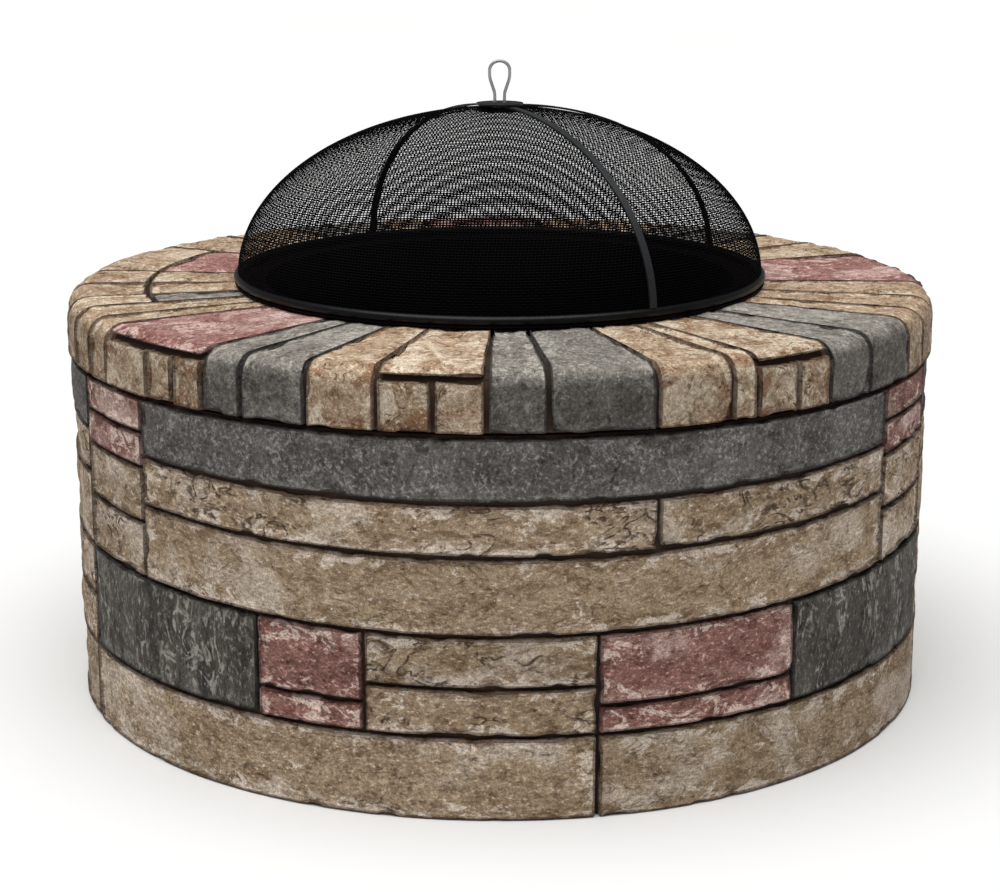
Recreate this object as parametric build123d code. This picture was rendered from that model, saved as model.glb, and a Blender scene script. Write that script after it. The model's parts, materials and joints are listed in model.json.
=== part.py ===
from build123d import *
import math
import os

# Round stone fire pit: a precast core faced with stones, a coping of radial stones,
# a drop-in steel fire bowl with a wood grate, and a lift-off mesh spark screen.
# Millimetres. The origin is on the ground at the middle of the pit, +Z is up and -Y is the front.
# An azimuth is in degrees from the front, growing towards +X.

# ---- driving dimensions: masonry -------------------------------------------------------------
cap_outer_radius = 406.0
cap_inner_radius = 225.0
cap_thickness = 53.0
cap_overhang = 3.0  # how far the coping stands out past the wall face
cap_nose_radius = 21.0
cap_foot_radius = 5.0
bed_thickness = 3.0  # mortar under the coping
bed_inset = 5.0  # the bed stops this far short of the core's faces
core_thickness = 85.0
veneer_thickness = 15.0
setting_thickness = 3.0  # mortar between the core and the stones
joint_width = 3.5  # open joint between neighbouring stones
floor_gap = 1.0  # the facing stones hang this far clear of the ground

base_course_height = 72.0
block_course_height = 90.0
long_course_height = 66.0
strip_course_height = 43.0
band_course_height = 52.0

# The columns stand beside the top three courses, and their last stone fills up to the wall's top.
column_azimuths = (-57.0, 64.0, 183.5)
column_width = 16.0
column_stone_heights = (49.0, 49.0, 31.0)
column_colours = ("buff", "buff", "rose", "rose")
strip_split = 0.643  # share of a bay in front of the strip course's joint

base_start = -65.5
base_widths = (77.0, 71.0, 71.0, 71.0, 70.0)

# Each block: colour, width in degrees, and how high its split is (None for one tall stone).
block_start = -65.0
block_layout = (
    ("grey", 35.0, None),
    ("rose", 14.0, 27.0),
    ("buff", 27.5, 44.0),
    ("rose", 26.5, 26.0),
    ("grey", 35.0, None),
    ("buff", 27.0, 44.0),
    ("rose", 25.0, 26.0),
    ("grey", 35.0, None),
    ("rose", 14.0, 27.0),
    ("buff", 27.5, 44.0),
    ("grey", 35.0, None),
    ("rose", 26.5, 26.0),
    ("buff", 32.0, 44.0),
)

# Each coping stone: colour, width in degrees, and where its face is split into
# smaller blocks, as shares of its width (None for a stone in one piece, "ringed" for one that
# stops at the ring joint, with a buff stone outside it).
cap_start = -62.0
cap_layout = (
    ("buff", 5.5, None),
    ("rose", 19.5, (0.5, 0.75)),
    ("grey", 6.0, None),
    ("grey", 8.5, None),
    ("buff", 8.5, None),
    ("buff", 12.5, (0.52,)),
    ("grey", 7.0, None),
    ("grey", 12.5, None),
    ("buff", 9.5, None),
    ("buff", 3.5, None),
    ("buff", 11.5, (0.52,)),
    ("grey", 8.0, None),
    ("grey", 11.0, None),
    ("buff", 6.5, None),
    ("buff", 9.0, None),
    ("buff", 11.0, None),
    ("rose", 24.0, (0.5,)),
    ("buff", 12.0, None),
    ("buff", 9.0, None),
    ("grey", 11.0, None),
    ("grey", 7.0, None),
    ("buff", 12.5, (0.52,)),
    ("buff", 9.5, None),
    ("rose", 20.0, (0.5,)),
    ("buff", 8.0, None),
    ("grey", 8.5, None),
    ("grey", 6.5, None),
    ("buff", 12.0, None),
    ("buff", 13.0, None),
    ("rose", 22.0, "ringed"),
    ("buff", 10.5, "ringed"),
    ("buff", 10.5, "ringed"),
    ("grey", 7.0, "ringed"),
    ("buff", 7.0, None),
)
cap_ring_joint_radius = 330.0
face_block_depth = 30.0
face_lip = 7.5  # thickness of the coping stone over the joint above its face blocks

# ---- driving dimensions: fire bowl -----------------------------------------------------------
seat_gap = 0.3  # between faces of pieces that lift apart
bowl_clearance = 3.0  # between the bowl's neck and the coping
bowl_wall = 1.5
flange_width = 27.0
neck_depth = 50.0
bowl_corner_radius = 110.0
drain_hole_radius = 5.0
drain_inset = 32.0  # from the drain holes to the edge of the bowl's flat floor
drain_count = 4

# ---- driving dimensions: wood grate ----------------------------------------------------------
grate_rod = 8.0
grate_height = 44.0  # from the bowl's floor to the middle of the ring
grate_clearance = 30.5  # between the ring and the bowl around it
grate_bar_pitch = 30.0
leg_inset = 13.0  # from the middle of a leg to the edge of the bowl's flat floor
weld_gap = 0.1  # drawn between rods that are welded where they cross

# ---- driving dimensions: spark screen --------------------------------------------------------
hoop_wire = 8.0
hoop_overhang = 1.0  # the hoop hides the flange by this much
dome_height = 153.5
mesh_thickness = 1.0
gore_gap = 1.0
seam_azimuths = (32.0, 122.0, 212.0, 302.0)
strapped_seams = 3  # the last seam is left bare
rib_width = 7.0
rib_thickness = 2.0
rib_lift = 0.2  # between the mesh and the strap over it
crown_hole_radius = 8.0
crown_plate_radius = 22.0
crown_plate_thickness = 1.5
loop_wire = 3.0
loop_leg_offset = 4.5
loop_half_width = 9.3
loop_leg_height = 9.0
loop_flare_height = 14.0
loop_height = 40.0
loop_bend_radius = 18.0
loop_crown_radius = 9.0
loop_hole_clearance = 0.1
loop_tail = 2.0  # how far the legs come through the inner plate

# ---- derived sizes ---------------------------------------------------------------------------
wall_radius = cap_outer_radius - cap_overhang
veneer_back_radius = wall_radius - veneer_thickness
core_outer_radius = veneer_back_radius - setting_thickness
core_inner_radius = core_outer_radius - core_thickness
base_course_top = base_course_height
block_course_top = base_course_top + block_course_height
long_course_top = block_course_top + long_course_height
strip_course_top = long_course_top + strip_course_height
core_height = strip_course_top + band_course_height
cap_bottom = core_height + bed_thickness
cap_top = cap_bottom + cap_thickness
joint_angle = math.degrees(joint_width / wall_radius)

neck_radius = cap_inner_radius - bowl_clearance
flange_radius = neck_radius + flange_width
flange_top = cap_top + seat_gap + bowl_wall
bend_level = flange_top - neck_depth
bowl_bottom = bend_level - bowl_corner_radius
bowl_floor = bowl_bottom + bowl_wall
floor_radius = neck_radius - bowl_corner_radius
drain_circle_radius = floor_radius - drain_inset

grate_level = bowl_floor + seat_gap + grate_height
bar_level = grate_level + grate_rod + weld_gap
bowl_radius_at_grate = floor_radius + math.sqrt(
    (bowl_corner_radius - bowl_wall) ** 2 - (bend_level - grate_level) ** 2
)
grate_ring_radius = bowl_radius_at_grate - grate_clearance - grate_rod / 2
grate_bars_each_side = int((grate_ring_radius - grate_rod) // grate_bar_pitch)
leg_offset = (floor_radius - leg_inset) / math.sqrt(2)

hoop_radius = flange_radius + hoop_overhang - hoop_wire / 2
hoop_level = flange_top + seat_gap + hoop_wire / 2
hoop_top = hoop_level + hoop_wire / 2
rib_inner_offset = mesh_thickness / 2 + rib_lift
crown_plate_bottom = hoop_level + dome_height + rib_inner_offset + rib_thickness + weld_gap
crown_plate_top = crown_plate_bottom + crown_plate_thickness
inner_plate_drop = 1.0  # the flat plate sits this far under the curved mesh's crown
inner_plate_top = hoop_level + dome_height - mesh_thickness / 2 - inner_plate_drop
inner_plate_bottom = inner_plate_top - crown_plate_thickness


# ---- helpers ---------------------------------------------------------------------------------
def section(r_in, r_out, z_low, z_high):
    """A rectangle in the radius and height plane."""
    middle = Pos((r_in + r_out) / 2, (z_low + z_high) / 2)
    return middle * Rectangle(r_out - r_in, z_high - z_low)


def sweep_round(profile, start=0.0, end=360.0):
    """Turn a radius and height profile about the pit's axis between two azimuths."""
    turned = revolve(Plane.XZ * profile, axis=Axis.Z, revolution_arc=end - start)
    return Rot(0, 0, start - 90) * turned


def facing_stone(start, end, z_low, z_high):
    """One wall stone, with half a joint taken off each side."""
    profile = section(veneer_back_radius, wall_radius, z_low + joint_width / 2, z_high - joint_width / 2)
    return sweep_round(profile, start + joint_angle / 2, end - joint_angle / 2)


def spans(start, widths):
    """Start and end azimuths of pieces laid side by side, scaled to close the circle."""
    scale = 360.0 / sum(widths)
    for width in widths:
        yield start, start + width * scale
        start += width * scale


def group(pieces):
    """Separate solids that share one node."""
    return Compound([solid for piece in pieces for solid in piece.solids()])


def rod(start, end, diameter):
    """A straight round rod between two points."""
    axis = Vector(*end) - Vector(*start)
    return extrude(Plane(origin=start, z_dir=axis) * Circle(diameter / 2), axis.length)


nodes = {}


# ---- masonry ---------------------------------------------------------------------------------
def build_core():
    """The precast core and the mortar that the stones are set in."""
    nodes["core_ring"] = sweep_round(section(core_inner_radius, core_outer_radius, 0, core_height))
    setting = section(core_outer_radius, veneer_back_radius, floor_gap, core_height)
    nodes["setting_mortar"] = sweep_round(setting)
    bed = section(core_inner_radius + bed_inset, core_outer_radius - bed_inset, core_height, cap_bottom)
    nodes["cap_mortar_bed"] = sweep_round(bed)


def build_base_course():
    """Long buff stones at the foot of the wall."""
    foot = floor_gap - joint_width / 2
    for number, (start, end) in enumerate(spans(base_start, base_widths), 1):
        nodes[f"base_stone_{number}"] = facing_stone(start, end, foot, base_course_top)


def build_block_course():
    """Tall grey stones between rose and buff pairs that are split into two heights."""
    by_colour = {"grey": [], "rose": [], "buff": []}
    widths = [width for _, width, _ in block_layout]
    for (colour, _, split), (start, end) in zip(block_layout, spans(block_start, widths)):
        levels = [base_course_top, block_course_top]
        if split:
            levels.insert(1, base_course_top + split)
        for low, high in zip(levels, levels[1:]):
            by_colour[colour].append(facing_stone(start, end, low, high))
    for colour, stones in by_colour.items():
        nodes[f"block_course_{colour}_stones"] = group(stones)


def build_bays():
    """Three bays of long stones between three narrow columns of small ones."""
    levels = [block_course_top]
    for height in column_stone_heights:
        levels.append(levels[-1] + height)
    levels.append(core_height)
    columns = {"rose": [], "buff": []}
    strips = []
    edges = [azimuth + column_width / 2 for azimuth in column_azimuths]
    following = column_azimuths[1:] + (column_azimuths[0] + 360,)
    for number, (start, nearby) in enumerate(zip(edges, following), 1):
        end = nearby - column_width / 2
        middle = start + (end - start) * strip_split
        nodes[f"long_stone_{number}"] = facing_stone(start, end, block_course_top, long_course_top)
        strips.append(facing_stone(start, middle, long_course_top, strip_course_top))
        strips.append(facing_stone(middle, end, long_course_top, strip_course_top))
        nodes[f"band_stone_{number}"] = facing_stone(start, end, strip_course_top, core_height)
        for colour, low, high in zip(column_colours, levels, levels[1:]):
            columns[colour].append(facing_stone(start - column_width, start, low, high))
    nodes["strip_course_stones"] = group(strips)
    nodes["column_rose_stones"] = group(columns["rose"])
    nodes["column_buff_stones"] = group(columns["buff"])


def cap_profile():
    """Section of the coping: a round nose at the top and an eased edge at the foot."""
    whole = section(cap_inner_radius, cap_outer_radius, cap_bottom, cap_top)
    outer = whole.vertices().sort_by(Axis.X)[-2:].sort_by(Axis.Y)
    whole = fillet(outer[1], cap_nose_radius)
    lower = whole.vertices().sort_by(Axis.Y)[:2].sort_by(Axis.X)[-1]
    return fillet(lower, cap_foot_radius)


def build_coping():
    """Radial coping stones, some with small blocks let into the face under their lip."""
    whole = cap_profile()
    block_top = cap_top - face_lip - joint_width
    block_back = cap_outer_radius - face_block_depth
    outside = cap_outer_radius + 1
    below = cap_bottom - 1
    lipped = whole - section(block_back - joint_width, outside, below, block_top + joint_width)
    block = whole & section(block_back, outside, below, block_top)
    inner_edge = cap_ring_joint_radius - joint_width / 2
    inner = whole & section(cap_inner_radius - 1, inner_edge, below, cap_top + 1)
    rim = whole & section(inner_edge + joint_width, outside, below, cap_top + 1)
    by_colour = {"buff": [], "grey": [], "rose": []}
    blocks = []
    half = joint_angle / 2
    widths = [width for _, width, _ in cap_layout]
    for (colour, _, splits), (start, end) in zip(cap_layout, spans(cap_start, widths)):
        if splits == "ringed":
            by_colour[colour].append(sweep_round(inner, start + half, end - half))
            by_colour["buff"].append(sweep_round(rim, start + half, end - half))
            continue
        profile = lipped if splits else whole
        by_colour[colour].append(sweep_round(profile, start + half, end - half))
        if splits:
            shares = (0.0,) + splits + (1.0,)
            cuts = [start + (end - start) * share for share in shares]
            for left, right in zip(cuts, cuts[1:]):
                blocks.append(sweep_round(block, left + half, right - half))
    for colour, stones in by_colour.items():
        nodes[f"cap_{colour}_stones"] = group(stones)
    nodes["cap_face_blocks"] = group(blocks)


# ---- fire bowl and grate ---------------------------------------------------------------------
def build_bowl():
    """Pressed steel bowl that hangs by its flange on the coping's inner edge."""
    flange_bottom = flange_top - bowl_wall
    inner_neck = neck_radius - bowl_wall
    bend = (floor_radius, bend_level)
    outline = [
        Line((flange_radius, flange_bottom), (neck_radius, flange_bottom)),
        Line((neck_radius, flange_bottom), (neck_radius, bend_level)),
        CenterArc(bend, bowl_corner_radius, -90, 90),
        Line((floor_radius, bowl_bottom), (0, bowl_bottom)),
        Line((0, bowl_bottom), (0, bowl_floor)),
        Line((0, bowl_floor), (floor_radius, bowl_floor)),
        CenterArc(bend, bowl_corner_radius - bowl_wall, -90, 90),
        Line((inner_neck, bend_level), (inner_neck, flange_top)),
        Line((inner_neck, flange_top), (flange_radius, flange_top)),
        Line((flange_radius, flange_top), (flange_radius, flange_bottom)),
    ]
    shell = sweep_round(make_face(outline))
    drill = extrude(Circle(drain_hole_radius), bowl_wall * 4)
    places = [Pos(0, 0, bowl_bottom - bowl_wall)]
    places += [places[0] * spot for spot in PolarLocations(drain_circle_radius, drain_count)]
    for place in places:
        shell -= place * drill
    nodes["fire_bowl"] = shell


def build_grate():
    """Welded round-rod grate that stands on four legs in the bowl."""
    nodes["grate_ring"] = Pos(0, 0, grate_level) * Torus(grate_ring_radius, grate_rod / 2)
    bars = []
    for number in range(-grate_bars_each_side, grate_bars_each_side + 1):
        x = number * grate_bar_pitch
        reach = math.sqrt(grate_ring_radius**2 - x**2)
        bars.append(rod((x, -reach, bar_level), (x, reach, bar_level), grate_rod))
    nodes["grate_bars"] = group(bars)
    inner_edge = grate_ring_radius - grate_rod / 2 - weld_gap
    carriers = []
    legs = []
    for y in (-leg_offset, leg_offset):
        near_edge = abs(y) + grate_rod / 2
        reach = math.sqrt(inner_edge**2 - near_edge**2)
        carriers.append(rod((-reach, y, grate_level), (reach, y, grate_level), grate_rod))
        for x in (-leg_offset, leg_offset):
            foot = (x, y, bowl_floor + seat_gap)
            legs.append(rod(foot, (x, y, grate_level), grate_rod) - carriers[-1])
    nodes["grate_carriers"] = group(carriers)
    nodes["grate_legs"] = group(legs)


# ---- spark screen ----------------------------------------------------------------------------
def dome_band(inner_offset, outer_offset, start_radius):
    """Section between two offsets of the dome's line, from the crown down to the hoop."""
    outer = Ellipse(hoop_radius + outer_offset, dome_height + outer_offset)
    inner = Ellipse(hoop_radius + inner_offset, dome_height + inner_offset)
    band = Pos(0, hoop_level) * (outer - inner)
    beyond = hoop_radius + outer_offset + 1
    return band & section(start_radius, beyond, hoop_top, hoop_level + dome_height + outer_offset + 1)


def build_dome():
    """The hoop, four gores of mesh and the straps over three of their seams."""
    nodes["screen_hoop"] = Pos(0, 0, hoop_level) * Torus(hoop_radius, hoop_wire / 2)
    mesh = dome_band(-mesh_thickness / 2, mesh_thickness / 2, crown_hole_radius)
    strap = dome_band(rib_inner_offset, rib_inner_offset + rib_thickness, crown_hole_radius)
    half = math.degrees(gore_gap / 2 / hoop_radius)
    following = seam_azimuths[1:] + (seam_azimuths[0] + 360,)
    rib = extrude(Plane.XZ * strap, rib_width / 2, both=True)
    for number, (start, end) in enumerate(zip(seam_azimuths, following), 1):
        nodes[f"mesh_gore_{number}"] = sweep_round(mesh, start + half, end - half)
        if number <= strapped_seams:
            nodes[f"screen_rib_{number}"] = Rot(0, 0, start - 90) * rib


def build_crown():
    """Two plates that clamp the crown of the dome, and the wire loop that lifts it."""
    hole = extrude(Circle(loop_wire / 2 + loop_hole_clearance), crown_plate_thickness)
    disc = extrude(Circle(crown_plate_radius), crown_plate_thickness)
    for x in (-loop_leg_offset, loop_leg_offset):
        disc -= Pos(x, 0, 0) * hole
    nodes["crown_plate"] = Pos(0, 0, crown_plate_bottom) * disc
    nodes["inner_crown_plate"] = Pos(0, 0, inner_plate_bottom) * disc
    foot = inner_plate_bottom - loop_tail
    waist = crown_plate_top + loop_leg_height
    shoulder = waist + loop_flare_height
    top = crown_plate_top + loop_height - loop_wire / 2
    half = [
        (-loop_leg_offset, 0, foot),
        (-loop_leg_offset, 0, waist),
        (-loop_half_width, 0, shoulder),
        (-loop_half_width, 0, top),
    ]
    points = half + [(-x, y, z) for x, y, z in reversed(half)]
    bends = [loop_bend_radius, loop_bend_radius, loop_crown_radius]
    path = FilletPolyline(*points, radius=bends + bends[::-1])
    nodes["lift_loop"] = sweep(Plane(origin=path @ 0, z_dir=path % 0) * Circle(loop_wire / 2), path)


build_core()
build_base_course()
build_block_course()
build_bays()
build_coping()
build_bowl()
build_grate()
build_dome()
build_crown()

os.makedirs("parts", exist_ok=True)
for name, shape in nodes.items():
    export_step(shape, f"parts/{name}.step")
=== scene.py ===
"""Looks of a round stone fire pit with its fire bowl, wood grate and lift-off spark screen.

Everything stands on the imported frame, in metres: the ground is at z = 0 and -Y is the front. An
azimuth is in radians from the front, growing towards +X.
"""

from __future__ import annotations

import json
import logging
import math
import random
from dataclasses import dataclass, replace
from enum import Enum
from typing import Iterator, Mapping, Sequence

import bmesh
import bpy
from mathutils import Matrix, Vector, noise

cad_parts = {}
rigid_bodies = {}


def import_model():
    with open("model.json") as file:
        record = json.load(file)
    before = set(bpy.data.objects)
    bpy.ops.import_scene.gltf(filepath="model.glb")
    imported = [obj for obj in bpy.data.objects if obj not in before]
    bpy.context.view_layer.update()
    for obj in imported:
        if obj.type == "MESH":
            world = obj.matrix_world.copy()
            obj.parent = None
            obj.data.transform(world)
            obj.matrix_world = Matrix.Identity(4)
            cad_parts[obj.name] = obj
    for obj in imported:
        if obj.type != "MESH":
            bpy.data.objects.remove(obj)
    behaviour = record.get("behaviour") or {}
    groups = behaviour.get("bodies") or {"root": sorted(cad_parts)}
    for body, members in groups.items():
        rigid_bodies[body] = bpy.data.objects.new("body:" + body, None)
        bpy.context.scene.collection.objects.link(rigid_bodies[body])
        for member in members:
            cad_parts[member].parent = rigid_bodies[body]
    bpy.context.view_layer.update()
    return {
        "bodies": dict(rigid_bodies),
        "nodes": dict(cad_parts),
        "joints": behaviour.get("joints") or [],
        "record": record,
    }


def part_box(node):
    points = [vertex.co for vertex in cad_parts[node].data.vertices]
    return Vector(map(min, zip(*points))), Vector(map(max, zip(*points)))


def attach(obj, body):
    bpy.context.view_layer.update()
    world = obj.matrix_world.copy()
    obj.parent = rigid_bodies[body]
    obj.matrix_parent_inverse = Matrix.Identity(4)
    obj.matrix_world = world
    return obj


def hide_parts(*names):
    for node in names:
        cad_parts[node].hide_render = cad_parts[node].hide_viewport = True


log = logging.getLogger("fire_pit")

Colour = tuple[float, float, float, float]
Triple = tuple[float, float, float]
Nodes = Mapping[str, bpy.types.Object]

MM = 0.001
MERGE_DISTANCE = 0.01 * MM
EDGE_SLACK = 0.5 * MM  # points this close to a stone's edge are taken to lie on it
SHORTEST_LIP = 8 * MM  # a stone that reaches further out above its foot has a lip
DRIFT_SPAN = (72 * MM, 323 * MM)  # between the base course and the coping, where beds wander
DRIFT = 12 * MM  # between the highest and the lowest point of a wandering bed


# ---- small helpers ---------------------------------------------------------------------------
def display(red: float, green: float, blue: float) -> Colour:
    """The linear colour of three display values from 0 to 255, with an alpha of 1."""
    shares = (value / 255 for value in (red, green, blue))
    linear = [s / 12.92 if s <= 0.04045 else ((s + 0.055) / 1.055) ** 2.4 for s in shares]
    return (linear[0], linear[1], linear[2], 1.0)


def smoothstep(low: float, high: float, value: float) -> float:
    """0 below low, 1 above high, and a smooth rise between them."""
    share = min(1.0, max(0.0, (value - low) / (high - low)))
    return share * share * (3 - 2 * share)


def on_circle(radius: float, azimuth: float, height: float) -> Vector:
    """The point at that radius, azimuth and height."""
    return Vector((radius * math.sin(azimuth), -radius * math.cos(azimuth), height))


def linked(name: str, data: bpy.types.ID) -> bpy.types.Object:
    """A new object called name for that data, in the scene."""
    piece = bpy.data.objects.new(name, data)
    bpy.context.scene.collection.objects.link(piece)
    return piece


def to_object(name: str, bm: bmesh.types.BMesh, material: bpy.types.Material) -> bpy.types.Object:
    """Turns a finished bmesh into a smooth-shaded object and frees it.

    Args:
        name: The new object's name.
        bm: The geometry, in the row frame.
        material: The material of all its faces.

    Returns:
        The new object, at the origin.
    """
    mesh = bpy.data.meshes.new(name)
    bm.to_mesh(mesh)
    bm.free()
    mesh.polygons.foreach_set("use_smooth", [True] * len(mesh.polygons))
    mesh.materials.append(material)
    return linked(name, mesh)


def report(piece: bpy.types.Object) -> None:
    """Logs one finished piece and how many faces it has."""
    log.info("%s: %d faces", piece.name, len(piece.data.polygons))


# ---- node graphs -----------------------------------------------------------------------------
class Graph:
    """One material's node tree, with a method for each kind of node that the finishes use."""

    def __init__(self, name: str) -> None:
        """Starts an empty node tree in a new material called name."""
        self.material = bpy.data.materials.new(name)
        self.material.use_nodes = True
        self.tree = self.material.node_tree
        self.tree.nodes.clear()

    def feed(self, socket: bpy.types.NodeSocket, value: object) -> None:
        """Links value to socket if it is a socket itself, and else sets it as its constant."""
        if isinstance(value, bpy.types.NodeSocket):
            self.tree.links.new(value, socket)
        else:
            socket.default_value = value

    def add(
        self, kind: str, inputs: Mapping[str | int, object], **settings: object
    ) -> bpy.types.Node:
        """Adds a node.

        Args:
            kind: The node's type name.
            inputs: What goes into its sockets, by name or number.
            settings: Properties of the node itself.

        Returns:
            The new node.
        """
        node = self.tree.nodes.new(kind)
        for key, value in settings.items():
            setattr(node, key, value)
        for key, value in inputs.items():
            self.feed(node.inputs[key], value)
        return node

    def attribute(self, name: str, output: str) -> bpy.types.NodeSocket:
        """One output of the mesh's own attribute of that name."""
        return self.add("ShaderNodeAttribute", {}, attribute_name=name).outputs[output]

    def place(self) -> bpy.types.NodeSocket:
        """The point's place in the object's own coordinates."""
        return self.add("ShaderNodeTexCoord", {}).outputs["Object"]

    def stretch(self, vector: bpy.types.NodeSocket, scale: Triple) -> bpy.types.NodeSocket:
        """vector times scale, axis by axis."""
        inputs = {0: vector, 1: scale}
        return self.add("ShaderNodeVectorMath", inputs, operation="MULTIPLY").outputs[0]

    def noise(
        self,
        vector: bpy.types.NodeSocket,
        scale: float,
        detail: float = 4.0,
        roughness: float = 0.55,
        distortion: float = 0.0,
    ) -> bpy.types.NodeSocket:
        """Fractal noise from about 0 to 1.

        Args:
            vector: Where it is read, in metres.
            scale: Cells in a metre.
            detail: Octaves.
            roughness: Weight of each finer octave.
            distortion: How far the cells are pulled about.

        Returns:
            The noise's value.
        """
        inputs = {"Vector": vector, "Scale": scale, "Detail": detail}
        inputs |= {"Roughness": roughness, "Distortion": distortion}
        return self.add("ShaderNodeTexNoise", inputs).outputs[0]

    def cells(self, vector: bpy.types.NodeSocket, scale: float) -> bpy.types.NodeSocket:
        """Distance to the nearest of scattered points, scale of them in a metre."""
        inputs = {"Vector": vector, "Scale": scale}
        return self.add("ShaderNodeTexVoronoi", inputs).outputs["Distance"]

    def span(
        self, value: object, low: float, high: float, start: float = 0.0, end: float = 1.0
    ) -> bpy.types.NodeSocket:
        """value taken smoothly from low..high to start..end, and held beyond them.

        Args:
            value: What is mapped.
            low: Where the rise begins.
            high: Where it ends.
            start: The result at and below low.
            end: The result at and above high.

        Returns:
            The mapped value.
        """
        inputs = {"Value": value, "From Min": low, "From Max": high, "To Min": start, "To Max": end}
        node = self.add("ShaderNodeMapRange", inputs, interpolation_type="SMOOTHSTEP")
        return node.outputs["Result"]

    def maths(self, operation: str, first: object, second: object) -> bpy.types.NodeSocket:
        """The result of one arithmetic operation on two values."""
        return self.add("ShaderNodeMath", {0: first, 1: second}, operation=operation).outputs[0]

    def mix(
        self, factor: object, first: object, second: object, blend: str = "MIX"
    ) -> bpy.types.NodeSocket:
        """Two colours mixed.

        Args:
            factor: Share of the second colour.
            first: The colour at a factor of 0.
            second: The colour at a factor of 1.
            blend: The blend mode.

        Returns:
            The mixed colour.
        """
        node = self.add("ShaderNodeMix", {}, data_type="RGBA", blend_type=blend)
        self.feed(node.inputs[0], factor)
        self.feed(node.inputs[6], first)
        self.feed(node.inputs[7], second)
        return node.outputs[2]

    def grey(self, value: object) -> bpy.types.NodeSocket:
        """A grey of that value, which may be over 1."""
        node = self.add("ShaderNodeCombineColor", {0: value, 1: value, 2: value})
        return node.outputs[0]

    def close(
        self,
        colour: object,
        roughness: object,
        height: object = None,
        relief: float = 0.0,
        metallic: float = 0.0,
        specular: float = 0.5,
    ) -> bpy.types.Material:
        """Ends the tree in a shader, with bump if it has a height.

        Args:
            colour: Base colour.
            roughness: Roughness.
            height: Bump height, from about 0 to 1.
            relief: Depth of the bump in metres.
            metallic: How metallic the surface is.
            specular: Strength of its reflections.

        Returns:
            The finished material.
        """
        inputs = {"Base Color": colour, "Roughness": roughness, "Metallic": metallic}
        inputs["Specular IOR Level"] = specular
        if height is not None:
            settings = {"Height": height, "Distance": relief, "Strength": 1.0}
            bump = self.add("ShaderNodeBump", settings)
            inputs["Normal"] = bump.outputs["Normal"]
        shader = self.add("ShaderNodeBsdfPrincipled", inputs)
        self.add("ShaderNodeOutputMaterial", {"Surface": shader.outputs["BSDF"]})
        return self.material


# ---- finishes --------------------------------------------------------------------------------
class Stone(Enum):
    """The kinds of stone, by the record's material slot."""

    BUFF = "stone_buff"
    GREY = "stone_grey"
    ROSE = "stone_rose"


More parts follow.
